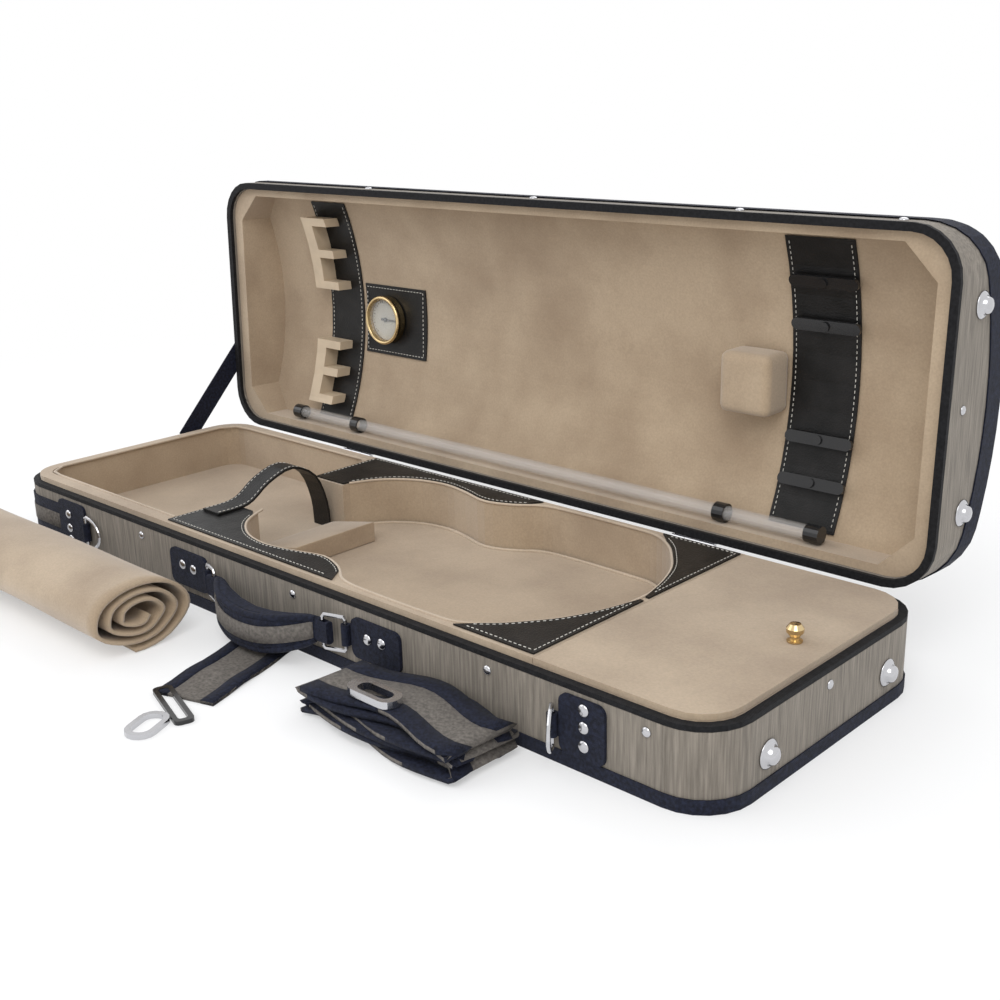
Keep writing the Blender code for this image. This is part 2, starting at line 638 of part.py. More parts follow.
def hygrometer(lid):
    x, y = DIAL_CENTRE
    top = ceiling(0.0265) - BAND_THICKNESS - GAP
    cup = [(0, 0), (0.0235, 0), (0.0235, -0.0070), (0.0220, -0.0085), (0.0205, -0.0085), (0.0205, -0.0020),
           (0, -0.0020)]
    case = add_turned("hygrometer_case", cup, BRASS, lid.frame, 32)
    case.location = (x, y, top)
    lid.add("hygrometer_dial", moved(rod(0.0200, top - 0.0032, top - 0.0023, "Z", 32), x, y, 0), DIAL)
    needle = axis_empty("needle_axis", (x, y, top - 0.0042), lid.frame)
    taper = [(-0.006, -0.0012), (0.0165, -0.0004), (0.0165, 0.0004), (-0.006, 0.0012)]
    shape = plate([taper], -0.0005, 0.0005)
    made = add("hygrometer_needle", shape, PLASTIC, needle)
    combine(made, add("needle_hub", rod(0.0022, -0.0009, 0.0006), None, needle), "UNION")


def bow_clips(lid):
    """Turn buttons that swing across a bow's stick."""
    for number, v in enumerate((0.2027, 0.1694, 0.0820, 0.0493), 1):
        y = DEPTH / 2 - v
        axis = axis_empty("bow_clip_axis_%d" % number, (0.2765, y, ceiling(y)), lid.frame)
        axis.rotation_euler.x = -math.asin(y / CEILING_RADIUS)
        bar = rounded((-0.028, 0.028), (-0.0045, 0.0045), 0.0044, 4)
        made = add("bow_clip_%d" % number, plate([bar], -0.0080, -0.0050), PLASTIC, axis)
        stem = rod(0.0036, -0.0095, -BAND_THICKNESS - GAP - 0.0002)
        combine(made, add("clip_stem_%d" % number, stem, None, axis), "UNION")


def string_tube(lid):
    tube = lid.add("string_tube", moved(rod(0.0060, *TUBE_ENDS, "X"), 0, TUBE_Y, TUBE_W), CLEAR)
    combine(tube, lid.add("tube_hollow", moved(rod(0.0050, -0.33, 0.33, "X"), 0, TUBE_Y, TUBE_W)))
    for word, x in (("left", -0.215), ("right", 0.215)):
        block = moved(rod(0.0076, x - 0.005, x + 0.005, "X"), 0, TUBE_Y, TUBE_W)
        clip = lid.add("tube_clip_" + word, block, PLASTIC)
        hole = moved(rod(0.0063, x - 0.01, x + 0.01, "X"), 0, TUBE_Y, TUBE_W)
        combine(clip, lid.add("tube_clip_hole_" + word, hole))
    for word, end, side in (("left", TUBE_ENDS[0], -1), ("right", TUBE_ENDS[1], 1)):
        axis = axis_empty("tube_cap_axis_" + word, (end, TUBE_Y, TUBE_W), lid.frame)
        ends = sorted((-side * 0.008, side * 0.004))
        cap = add("tube_cap_" + word, rod(0.0070, *ends, "X"), PLASTIC, axis)
        hole = rod(0.0063, *sorted((-side * 0.02, side * GAP)), "X")
        combine(cap, add("tube_cap_hole_" + word, hole, None, axis))


def stay_strap():
    """Webbing outside the left end, from the base's wall to the open lid's."""
    route = [(0.0605, 0.0525), (0.140, 0.136)]
    add("stay_strap", plate([strip(route, 0.020)], -LENGTH / 2 - 0.0015, -LENGTH / 2 - GAP, ALONG_X), NAVY)


def build():
    base_shell()
    base_insert()
    wedge_cushion()
    corner_panels()
    neck_strap()
    foot("base_end_foot_front", (LENGTH / 2 + GAP, -0.0715, 0.025), None)
    foot("base_end_foot_back", (LENGTH / 2 + GAP, 0.0715, 0.025), None)
    handle()
    strap_anchors()
    compartment_lid()
    loose_strap()
    blanket_roll()
    lid = Lid()
    hinges(lid.hinge)
    lid_shell(lid)
    lid_fittings(lid)
    hygrometer(lid)
    bow_clips(lid)
    string_tube(lid)
    stay_strap()
    bpy.context.view_layer.update()


build()
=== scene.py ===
"""The looks of the open violin case: finishes, seams, stitching, piping and the soft pieces."""
import json
import math

import bmesh
import bpy
from mathutils import Matrix, Vector


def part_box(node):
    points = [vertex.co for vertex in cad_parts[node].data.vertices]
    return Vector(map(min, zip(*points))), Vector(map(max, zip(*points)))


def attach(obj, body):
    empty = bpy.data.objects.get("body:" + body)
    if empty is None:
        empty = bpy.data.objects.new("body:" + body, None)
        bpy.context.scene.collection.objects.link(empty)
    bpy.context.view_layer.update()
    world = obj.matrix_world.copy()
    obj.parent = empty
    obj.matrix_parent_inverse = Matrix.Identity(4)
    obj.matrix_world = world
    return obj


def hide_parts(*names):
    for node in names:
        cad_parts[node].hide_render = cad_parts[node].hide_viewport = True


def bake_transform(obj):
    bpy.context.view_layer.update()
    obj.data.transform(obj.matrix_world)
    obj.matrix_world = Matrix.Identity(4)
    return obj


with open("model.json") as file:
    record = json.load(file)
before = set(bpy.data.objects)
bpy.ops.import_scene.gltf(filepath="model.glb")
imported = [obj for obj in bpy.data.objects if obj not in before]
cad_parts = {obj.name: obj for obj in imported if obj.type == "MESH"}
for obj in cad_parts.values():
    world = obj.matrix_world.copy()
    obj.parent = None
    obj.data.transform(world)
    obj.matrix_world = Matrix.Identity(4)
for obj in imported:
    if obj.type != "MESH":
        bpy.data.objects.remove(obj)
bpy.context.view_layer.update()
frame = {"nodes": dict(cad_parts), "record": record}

# The case's driving sizes, in metres
LENGTH = 0.790
DEPTH = 0.250
BASE_HEIGHT = 0.056
LIP_TOP = 0.0605
PANEL_TOP = 0.0619
OPEN_ANGLE = math.radians(91.8)
HINGE = (0.0, 0.1278, BASE_HEIGHT)
CEILING = 0.056
CEILING_RADIUS = 0.2733
CAVITY_EDGE = [(-0.118, 0.048), (-0.108, 0.068), (-0.094, 0.083), (-0.072, 0.095), (-0.045, 0.0995),
               (-0.018, 0.095), (0.012, 0.0875), (0.038, 0.095), (0.060, 0.109), (0.090, 0.1125),
               (0.150, 0.1125), (0.178, 0.110), (0.200, 0.096), (0.216, 0.078), (0.230, 0.058),
               (0.240, 0.034), (0.246, 0.012)]
DIAL = (-0.208, 0.003)
HANDLE_Y = -0.135
HANDLE_Z = 0.031
END_FACE = LENGTH / 2 + 0.0003
STRAP_SLANT = (0.93, 0.30, 0)
BUNDLE_SLANT = (0.05, 1, 0)
BORDER_OFFSET = 0.0195

# The camera at the photograph's angle
EYE = (0.7531, -0.6642, 0.4050)
YAW = 0.76529
PITCH = 0.31493
ROLL = -0.02638
LENS = 46.89


def shader(name, colour, roughness, metallic=0.0):
    made = bpy.data.materials.new(name)
    made.use_nodes = True
    bsdf = made.node_tree.nodes["Principled BSDF"]
    bsdf.inputs["Base Color"].default_value = (*colour, 1)
    bsdf.inputs["Roughness"].default_value = roughness
    bsdf.inputs["Metallic"].default_value = metallic
    return made, made.node_tree, bsdf


def node(tree, kind, inputs=None, **settings):
    made = tree.nodes.new(kind)
    for key, value in settings.items():
        setattr(made, key, value)
    for key, value in (inputs or {}).items():
        made.inputs[key].default_value = value
    return made


def coordinates(tree, scale):
    where = node(tree, "ShaderNodeTexCoord")
    mapping = node(tree, "ShaderNodeMapping", {"Scale": scale})
    tree.links.new(where.outputs["Object"], mapping.inputs["Vector"])
    return mapping.outputs["Vector"]


def noise(tree, scale, size, detail=4.0):
    made = node(tree, "ShaderNodeTexNoise", {"Scale": size, "Detail": detail})
    tree.links.new(coordinates(tree, scale), made.inputs["Vector"])
    return made.outputs["Fac"]


def ramp(tree, value, stops):
    made = node(tree, "ShaderNodeValToRGB")
    band = made.color_ramp
    while len(band.elements) < len(stops):
        band.elements.new(0.5)
    for element, (place, colour) in zip(band.elements, stops):
        element.position = place
        element.color = (*colour, 1)
    tree.links.new(value, made.inputs["Fac"])
    return made.outputs["Color"]


def mixed(tree, factor, first, second, blend="MIX"):
    made = node(tree, "ShaderNodeMix", data_type="RGBA", blend_type=blend)
    for value, key in ((factor, 0), (first, 6), (second, 7)):
        if isinstance(value, (int, float, tuple)):
            made.inputs[key].default_value = value
        else:
            tree.links.new(value, made.inputs[key])
    return made.outputs[2]


def bump(tree, bsdf, height, strength, distance, after=None):
    made = node(tree, "ShaderNodeBump", {"Strength": strength, "Distance": distance})
    tree.links.new(height, made.inputs["Height"])
    if after:
        tree.links.new(after, made.inputs["Normal"])
    tree.links.new(made.outputs["Normal"], bsdf.inputs["Normal"])
    return made.outputs["Normal"]


def canvas():
    """Grey-brown canvas with upright streaks of lighter yarn."""
    made, tree, bsdf = shader("canvas", (0.15, 0.13, 0.11), 0.88)
    streak = noise(tree, (1, 1, 0.05), 620.0, 5.0)
    colour = ramp(tree, streak, [(0.25, (0.130, 0.112, 0.090)), (0.50, (0.215, 0.187, 0.152)),
                                 (0.75, (0.310, 0.272, 0.224))])
    cloud = ramp(tree, noise(tree, (1, 1, 1), 9.0), [(0.3, (0.88, 0.88, 0.89)), (0.7, (1.0, 1.0, 1.0))])
    tree.links.new(mixed(tree, 1.0, colour, cloud, "MULTIPLY"), bsdf.inputs["Base Color"])
    bsdf.inputs["Sheen Weight"].default_value = 0.15
    first = bump(tree, bsdf, noise(tree, (1, 1, 0.3), 900.0), 0.5, 0.0006)
    bump(tree, bsdf, noise(tree, (0.3, 0.3, 1.0), 1100.0), 0.4, 0.0004, first)
    return made


def webbing(name, dark, light, sheen=0.03):
    """Woven tape with a fine rib."""
    made, tree, bsdf = shader(name, dark, 0.72)
    colour = ramp(tree, noise(tree, (1, 1, 1), 420.0, 3.0), [(0.35, dark), (0.70, light)])
    tree.links.new(colour, bsdf.inputs["Base Color"])
    bsdf.inputs["Sheen Weight"].default_value = sheen
    bsdf.inputs["Specular IOR Level"].default_value = 0.18
    wave = node(tree, "ShaderNodeTexWave", {"Scale": 520.0, "Distortion": 0.6}, bands_direction="DIAGONAL")
    tree.links.new(coordinates(tree, (1, 1, 1)), wave.inputs["Vector"])
    bump(tree, bsdf, wave.outputs["Fac"], 0.45, 0.0004)
    return made


def suede(name, dark, light):
    """Brushed suede: soft clouds, a fine nap and darker scuffs."""
    made, tree, bsdf = shader(name, light, 0.95)
    cloud = ramp(tree, noise(tree, (1, 1, 1), 14.0, 6.0), [(0.30, dark), (0.62, light)])
    stops = [(0.25, (0.82, 0.82, 0.82)), (0.75, (1.0, 1.0, 1.0))]
    nap = ramp(tree, noise(tree, (1, 1, 1), 620.0, 3.0), stops)
    tree.links.new(mixed(tree, 1.0, cloud, nap, "MULTIPLY"), bsdf.inputs["Base Color"])
    bsdf.inputs["Sheen Weight"].default_value = 0.35
    bsdf.inputs["Sheen Roughness"].default_value = 0.6
    first = bump(tree, bsdf, noise(tree, (1, 1, 1), 1500.0), 0.35, 0.0003)
    bump(tree, bsdf, noise(tree, (1, 1, 1), 30.0), 0.25, 0.0020, first)
    return made


def leather():
    made, tree, bsdf = shader("leather", (0.009, 0.008, 0.008), 0.40)
    bsdf.inputs["Specular IOR Level"].default_value = 0.26
    grain = node(tree, "ShaderNodeTexVoronoi", {"Scale": 700.0})
    tree.links.new(coordinates(tree, (1, 1, 1)), grain.inputs["Vector"])
    stops = [(0.3, (0.004, 0.004, 0.004)), (0.75, (0.013, 0.012, 0.012))]
    colour = ramp(tree, noise(tree, (1, 1, 1), 60.0), stops)
    tree.links.new(colour, bsdf.inputs["Base Color"])
    rough = node(tree, "ShaderNodeMapRange", {"To Min": 0.34, "To Max": 0.52})
    tree.links.new(noise(tree, (1, 1, 1), 90.0), rough.inputs["Value"])
    tree.links.new(rough.outputs["Result"], bsdf.inputs["Roughness"])
    bump(tree, bsdf, grain.outputs["Distance"], 0.45, 0.0004)
    return made


def metal(name, colour, low, high):
    made, tree, bsdf = shader(name, colour, low, 1.0)
    rough = node(tree, "ShaderNodeMapRange", {"To Min": low, "To Max": high})
    tree.links.new(noise(tree, (1, 1, 1), 160.0), rough.inputs["Value"])
    tree.links.new(rough.outputs["Result"], bsdf.inputs["Roughness"])
    bump(tree, bsdf, noise(tree, (1, 1, 1), 260.0), 0.06, 0.0003)
    return made


def plastic(name, colour, roughness):
    made, tree, bsdf = shader(name, colour, roughness)
    shade = tuple(channel * 0.85 for channel in colour)
    tint = ramp(tree, noise(tree, (1, 1, 1), 50.0), [(0.3, shade), (0.7, colour)])
    tree.links.new(tint, bsdf.inputs["Base Color"])
    bump(tree, bsdf, noise(tree, (1, 1, 1), 400.0), 0.08, 0.0003)
    return made


def clear(name, tint, alpha, roughness=0.05):
    made, tree, bsdf = shader(name, tint, roughness)
    bsdf.inputs["Alpha"].default_value = alpha
    bsdf.inputs["Specular IOR Level"].default_value = 0.8
    bump(tree, bsdf, noise(tree, (1, 1, 1), 60.0), 0.05, 0.0004)
    return made


SUEDE_DARK = (0.350, 0.252, 0.160)
SUEDE_LIGHT = (0.480, 0.365, 0.245)
LOOKS = {
    "canvas": canvas(),
    "navy": webbing("navy_webbing", (0.006, 0.007, 0.014), (0.017, 0.021, 0.042)),
    "suede": suede("suede", SUEDE_DARK, SUEDE_LIGHT),
    "leather": leather(),
    "binding": webbing("binding", (0.005, 0.005, 0.006), (0.014, 0.014, 0.016)),
    "chrome": metal("chrome", (0.56, 0.56, 0.58), 0.12, 0.26),
    "brass": metal("brass", (0.66, 0.50, 0.27), 0.16, 0.30),
    "plastic": plastic("black_plastic", (0.014, 0.014, 0.015), 0.16),
    "holder": plastic("holder_plastic", (0.60, 0.48, 0.34), 0.45),
    "dial": plastic("dial_face", (0.50, 0.47, 0.40), 0.5),
    "clear": clear("clear_tube", (0.66, 0.64, 0.62), 0.18),
}
THREAD = plastic("thread", (0.70, 0.68, 0.62), 0.7)
PIPING = suede("piping", (0.44, 0.345, 0.245), (0.60, 0.485, 0.36))
GREY_TAPE = webbing("grey_tape", (0.11, 0.10, 0.09), (0.20, 0.18, 0.16))


def dress_nodes():
    """Each CAD node takes the finish of its material slot."""
    for entry in frame["record"]["subparts"]:
        item = frame["nodes"][entry["node"]]
        item.data.materials.clear()
        item.data.materials.append(LOOKS[entry["material_slot"]])


def feet():
    """Domed feet on wide washers, in place of the plain ones of the right end."""
    profile = [(0, 0), (0.0095, 0), (0.0095, 0.0008), (0.0080, 0.0014), (0.0062, 0.0016), (0.0060, 0.0040),
               (0.0049, 0.0058), (0.0026, 0.0068), (0, 0.0070)]
    chrome = LOOKS["chrome"]
    for word, y in (("front", -0.0715), ("back", 0.0715)):
        place = (END_FACE, y, 0.025)
        made = lathe("base_foot_" + word, profile, place, (1, 0, 0), "base", chrome, 32)
        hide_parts("base_end_foot_" + word)
        place = lid_point(END_FACE, y, 0.036)
        made = lathe("lid_foot_" + word, profile, place, (1, 0, 0), "lid", chrome, 32)
        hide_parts("lid_end_foot_" + word)


def grip_trim():
    """Rolled navy edges and a grey panel along the handle's outer face."""
    stations = [(0.0590, 0.0062, 0.018, 0.0, 0.0), (0.0520, 0.0100, 0.024, 0.004, 0.002),
                (0.0380, 0.0150, 0.028, 0.011, 0.005), (0.0200, 0.0175, 0.030, 0.0155, 0.008),
                (0.0, 0.0180, 0.030, 0.017, 0.009)]
    whole = [(-x, *rest) for x, *rest in stations[:-1]] + list(reversed(stations))
    faces = []
    for height in (-0.5, 0.5):
        faces.append([(x, HANDLE_Y - bulge - thick * 0.34, HANDLE_Z - drop + tall * height * 0.86)
                      for x, thick, tall, bulge, drop in smooth(whole, 3)])
    tube("grip_rolls", faces, 0.0026, LOOKS["navy"], "grip", sides=3)
    route = []
    for x, thick, tall, bulge, drop in smooth(whole, 3):
        route.append((x, HANDLE_Y - 0.0004 - bulge - thick / 2, HANDLE_Z - drop))
    ribbon("grip_panel", route, (0, 0, 1), 0.013, 0.0012, GREY_TAPE, "grip")


def strap_stitching():
    """Thread along both edges of the neck strap."""
    top = 0.0633
    route = [(-0.082, top), (-0.062, top), (-0.048, 0.0665), (-0.030, 0.078), (-0.004, 0.085),
             (0.020, 0.072), (0.031, 0.045)]
    lift = 0.00115
    paths = [[(x, y, z + lift) for y, z in smooth(route)] for x in (-0.150, -0.132)]
    stitches("neck_strap_stitching", paths, "base")


def lid_point(x, y, w):
    """A point of the closed lid's frame, turned to the open rest pose."""
    across = y - HINGE[1]
    turn_cos = math.cos(OPEN_ANGLE)
    turn_sin = math.sin(OPEN_ANGLE)
    y = HINGE[1] + across * turn_cos + w * turn_sin
    return Vector((x, y, HINGE[2] - across * turn_sin + w * turn_cos))


def ceiling(y, drop=0.0):
    """The height of the lid's arched ceiling above the mouth."""
    return CEILING - CEILING_RADIUS + math.sqrt((CEILING_RADIUS - drop) ** 2 - y * y)


def finish_piece(made, body, material):
    """Links a new piece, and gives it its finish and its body."""
    made.data.materials.clear()
    made.data.materials.append(material)
    bpy.context.scene.collection.objects.link(made)
    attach(made, body)
    return made


def tube(name, runs, radius, material, body, closed=False, sides=2):
    """One curve object with a run of tube for each list of points."""
    curve = bpy.data.curves.new(name, "CURVE")
    curve.dimensions = "3D"
    curve.bevel_depth = radius
    curve.bevel_resolution = sides
    curve.use_fill_caps = True
    for points in runs:
        spline = curve.splines.new("POLY")
        spline.points.add(len(points) - 1)
        for control, point in zip(spline.points, points):
            control.co = (*point, 1)
        spline.use_cyclic_u = closed
    return finish_piece(bpy.data.objects.new(name, curve), body, material)


def along(points, spacing):
    """Points at an even spacing along a path."""
    made = [Vector(points[0])]
    left = spacing
    for start, end in zip(points, points[1:]):
        start = Vector(start)
        end = Vector(end)
        length = (end - start).length
        travelled = 0.0
        while length - travelled >= left:
            travelled += left
            made.append(start.lerp(end, travelled / length))
            left = spacing
        left -= length - travelled
    return made


def stitches(name, paths, body, pitch=0.0042, radius=0.00032):
    """Short threads along paths, with gaps between them."""
    runs = []
    for path in paths:
        dots = along(path, pitch / 4)
        for index in range(0, len(dots) - 3, 4):
            runs.append([dots[index], dots[index + 2]])
    return tube(name, runs, radius, THREAD, body, sides=1)


def lathe(name, profile, place, direction, body, material, steps=20):
    """A turned piece whose profile's height runs along a direction."""
    shape = bmesh.new()
    corners = [shape.verts.new((radius, 0, height)) for radius, height in profile]
    edges = [shape.edges.new(pair) for pair in zip(corners, corners[1:])]
    bmesh.ops.spin(shape, geom=corners + edges, cent=(0, 0, 0), axis=(0, 0, 1), angle=math.tau, steps=steps)
    bmesh.ops.remove_doubles(shape, verts=shape.verts, dist=0.00002)
    bmesh.ops.recalc_face_normals(shape, faces=shape.faces)
    mesh = bpy.data.meshes.new(name)
    shape.to_mesh(mesh)
    shape.free()
    mesh.shade_smooth()
    turn = Vector((0, 0, 1)).rotation_difference(Vector(direction)).to_matrix().to_4x4()
    mesh.transform(Matrix.Translation(place) @ turn)
    return finish_piece(bpy.data.objects.new(name, mesh), body, material)


def dome(radius, height):
    """The profile of a low dome, from its foot to its top."""
    turns = [math.radians(15 * step) for step in range(7)]
    return [(0, 0)] + [(radius * math.cos(turn), height * math.sin(turn)) for turn in turns]


def between(values, t):
    """A value on the smooth curve through the middle two of four values."""
    a, b, c, d = values
    bend = 2 * a - 5 * b + 4 * c - d
    twist = 3 * b - a - 3 * c + d
    return 0.5 * (2 * b + (c - a) * t + bend * t * t + twist * t ** 3)


def smooth(points, steps=4):
    """A smooth curve through points."""
    made = []
    last = len(points) - 1
    for index in range(last):
        near = [points[min(max(index + shift, 0), last)] for shift in (-1, 0, 1, 2)]
        for step in range(steps):
            made.append(tuple(between(values, step / steps) for values in zip(*near)))
    made.append(points[-1])
    return made


def cavity_trim():
    """Piping round the violin's cavity and at its floor."""
    edge = smooth(CAVITY_EDGE)
    front_edge = [(x, -y) for x, y in reversed(edge)]
    height = LIP_TOP + 0.0002
    rim = [(x, y, height) for x, y in edge + front_edge]
    tube("cavity_piping", [rim], 0.0011, PIPING, "base")
    inner = [(x * 0.985 + 0.0008, y * 0.975, 0.0205) for x, y in front_edge + edge]
    tube("floor_piping", [inner], 0.0014, PIPING, "base", True)
    pocket = [(-0.376, -0.090), (-0.376, 0.090), (-0.366, 0.104), (-0.350, 0.1065), (-0.160, 0.1065)]
    front = [(x, -y) for x, y in reversed(pocket[2:])]
    rim = [(x, y, height) for x, y in front + pocket]
    tube("pocket_piping", [rim], 0.0011, PIPING, "base")


def panel_stitching():
    """White thread along the leather panels' inner and outer edges."""
    edge = smooth(CAVITY_EDGE)
    inset = 0.0036
    height = PANEL_TOP + 0.0002
    for side, word, throat in ((-1, "front", 0.055), (1, "back", 0.040)):
        left = [(x, side * (y + inset), height) for x, y in edge if x < 0.049 and y > throat + 0.004]
        right = [(x + 0.0015, side * (y + inset), height) for x, y in edge if x > 0.188 and y > 0.006]
        paths = [left, right]
        paths.append([(-0.153, side * 0.1125, height), (0.045, side * 0.1125, height)])
        paths.append([(0.190, side * 0.1125, height), (0.249, side * 0.1125, height)])
        paths.append([(0.249, side * 0.1120, height), (0.249, side * 0.012, height)])
        paths.append([(-0.1545, side * 0.110, height), (-0.1545, side * (throat + 0.006), height)])
        stitches("panel_stitching_" + word, paths, "base")


def band_stitching():
    """White thread along the bow bands and round the hygrometer's patch."""
    for word, low, high in (("left", -0.296, -0.246), ("right", 0.246, 0.302)):
        paths = []
        for x in (low + 0.003, high - 0.003):
            paths.append([lid_point(x, y / 1000, ceiling(y / 1000, 0.0018)) for y in range(-104, 105, 8)])
        stitches("bow_band_stitching_" + word, paths, "lid")
    corners = [(-0.238, -0.027), (-0.158, -0.027), (-0.158, 0.035), (-0.238, 0.035), (-0.238, -0.027)]
    patch = [lid_point(x, y, ceiling(y, 0.0018)) for x, y in corners]
    stitches("patch_stitching", [patch], "lid")


def studs():
    """Small domed studs on the front walls, and rivets on the webbing."""
    small = dome(0.0034, 0.0018)
    front = -DEPTH / 2 - 0.0001
    chrome = LOOKS["chrome"]
    for index, x in enumerate((-0.185, 0.020, 0.220, 0.347)):
        lathe("front_stud_%d" % index, small, (x, front, 0.044), (0, -1, 0), "base", chrome)
        lathe("lid_stud_%d" % index, small, lid_point(x, front, 0.012), (0, 0, 1), "lid", chrome)
    end = LENGTH / 2 + 0.0001
    lathe("end_stud", small, (end, -0.003, 0.044), (1, 0, 0), "base", chrome)
    lathe("lid_end_stud", small, lid_point(end, -0.003, 0.022), (1, 0, 0), "lid", chrome)
    rivet = dome(0.0042, 0.0020)
    places = [(-0.303, 0.038, 0.0022), (-0.303, 0.025, 0.0022), (-0.303, 0.014, 0.0022),
              (0.302, 0.0436, 0.0022), (0.302, 0.032, 0.0022), (0.302, 0.0194, 0.0022),
              (0.106, 0.033, 0.0026), (0.121, 0.034, 0.0026),
              (-0.106, 0.033, 0.0026), (-0.121, 0.034, 0.0026)]
    for index, (x, z, lift) in enumerate(places):
        at = (x, -DEPTH / 2 - 0.0004 - lift, z)
        lathe("rivet_%d" % index, rivet, at, (0, -1, 0), "base", chrome)


def hygrometer_face():
    """Ticks on the dial, a glass over it and a turned bezel."""
    x, y = DIAL
    top = ceiling(0.0265) - 0.0018
    ticks = []
    for step in range(28):
        turn = math.radians(-135 + 10 * step)
        inner = 0.0158 if step % 3 == 0 else 0.0172
        line = [(x + r * math.sin(turn), y - r * math.cos(turn)) for r in (inner, 0.0188)]
        ticks.append([lid_point(*point, top - 0.0034) for point in line])
    tube("dial_ticks", ticks, 0.00022, LOOKS["plastic"], "lid", sides=1)
    outward = lid_point(0, 0, 0) - lid_point(0, 0, 1)
    glass = [(0, 0.0008), (0.010, 0.0007), (0.0200, 0.0), (0.0200, -0.0004), (0, -0.0004)]
    lathe("hygrometer_glass", glass, lid_point(x, y, top - 0.0068), outward, "lid",
          clear("dial_glass", (0.9, 0.92, 0.92), 0.12), 40)
    bezel = [(0.0203, 0.0), (0.0212, 0.0012), (0.0226, 0.0014), (0.0238, 0.0004), (0.0236, -0.0030),
             (0.0203, 0.0)]
    brass = LOOKS["brass"]
    lathe("hygrometer_bezel", bezel, lid_point(x, y, top - 0.0086), outward, "lid", brass, 40)


def cushion(name, replaced, corners, crown, body, material):
    """A soft block from a coarse cage: its corners, crowned and rounded."""
    low, high = corners
    shape = bmesh.new()
    size = [b - a for a, b in zip(low, high)]
    centre = [(a + b) / 2 for a, b in zip(low, high)]
    bmesh.ops.create_cube(shape, size=1, matrix=Matrix.Translation(centre) @ Matrix.Diagonal((*size, 1)))
    bmesh.ops.subdivide_edges(shape, edges=shape.edges, cuts=4, use_grid_fill=True)
    for vertex in shape.verts:
        share = [(vertex.co[k] - centre[k]) / (size[k] / 2) for k in range(3)]
        if share[2] > 0.9:
            vertex.co.z += crown * (1 - share[0] ** 2) * (1 - share[1] ** 2) - crown
    mesh = bpy.data.meshes.new(name)
    shape.to_mesh(mesh)
    shape.free()
    mesh.shade_smooth()
    made = finish_piece(bpy.data.objects.new(name, mesh), body, material)
    made.modifiers.new("round", "BEVEL").width = min(size) * 0.18
    made.modifiers["round"].segments = 3
    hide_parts(replaced)
    return made


def wedge():
    """The cushion under the neck's heel, high at the body end."""
    low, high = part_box("wedge_cushion")
    made = cushion("neck_wedge", "wedge_cushion", (low, high), 0.0015, "base", LOOKS["suede"])
    for vertex in made.data.vertices:
        along_x = (vertex.co.x - low[0]) / (high[0] - low[0])
        share = (vertex.co.z - low[2]) / (high[2] - low[2])
        vertex.co.z = low[2] + share * (0.007 + along_x * (high[2] - low[2] - 0.007))


def foam():
    """The block that presses on the violin's lower end."""
    cushion("foam_pad", "foam_block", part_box("foam_block"), 0.0006, "lid", LOOKS["suede"])


def blanket():
    """A rolled suede blanket: a spiral section, with a loose flap underneath."""
    low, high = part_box("blanket_roll")
    centre_y = (low[1] + high[1]) / 2
    centre_z = (low[2] + high[2]) / 2
    half_y = (high[1] - low[1]) / 2 - 0.002
    half_z = (high[2] - low[2]) / 2 - 0.002
    turns = 3.2
    count = 110
    shape = bmesh.new()
    rows = []
    stations = 24
    for station in range(stations + 1):
        share = station / stations
        x = low[0] + (high[0] - low[0]) * share
        row = []
        for step in range(count + 1):
            t = step / count
            angle = -math.pi * 0.55 + math.tau * turns * t
            size = 1 - 0.78 * t + 0.012 * math.sin(5 * angle + 9 * share)
            y = centre_y + half_y * size * math.cos(angle)
            z = max(centre_z + half_z * size * math.sin(angle), low[2] + 0.0016)
            row.append(shape.verts.new((x + 0.0016 * math.sin(3 * angle), y, z)))
        rows.append(row)
    for first, second in zip(rows, rows[1:]):
        for index in range(count):
            shape.faces.new((first[index], first[index + 1], second[index + 1], second[index]))
    for vertex in shape.verts:
        vertex.co.x = min(max(vertex.co.x, low[0]), high[0])
    mesh = bpy.data.meshes.new("blanket")
    shape.to_mesh(mesh)
    shape.free()
    mesh.shade_smooth()
    made = finish_piece(bpy.data.objects.new("blanket", mesh), "base", LOOKS["suede"])
    thick = made.modifiers.new("cloth", "SOLIDIFY")
    thick.thickness = 0.0028
    thick.offset = 0
    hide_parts("blanket_roll")


def ribbon(name, route, across, width, thickness, material, body="base"):
    """A flat strap along a route, its width along a fixed direction."""
    shape = bmesh.new()
    side = Vector(across).normalized() * width / 2
    rows = []
    for point in route:
        at = Vector(point)
        rows.append([shape.verts.new(at - side), shape.verts.new(at), shape.verts.new(at + side)])
    for first, second in zip(rows, rows[1:]):
        for index in range(2):
            shape.faces.new((first[index], first[index + 1], second[index + 1], second[index]))
    mesh = bpy.data.meshes.new(name)
    shape.to_mesh(mesh)
    shape.free()
    mesh.shade_smooth()
    made = finish_piece(bpy.data.objects.new(name, mesh), body, material)
    thick = made.modifiers.new("web", "SOLIDIFY")
    thick.thickness = thickness
    thick.offset = 0
    return made


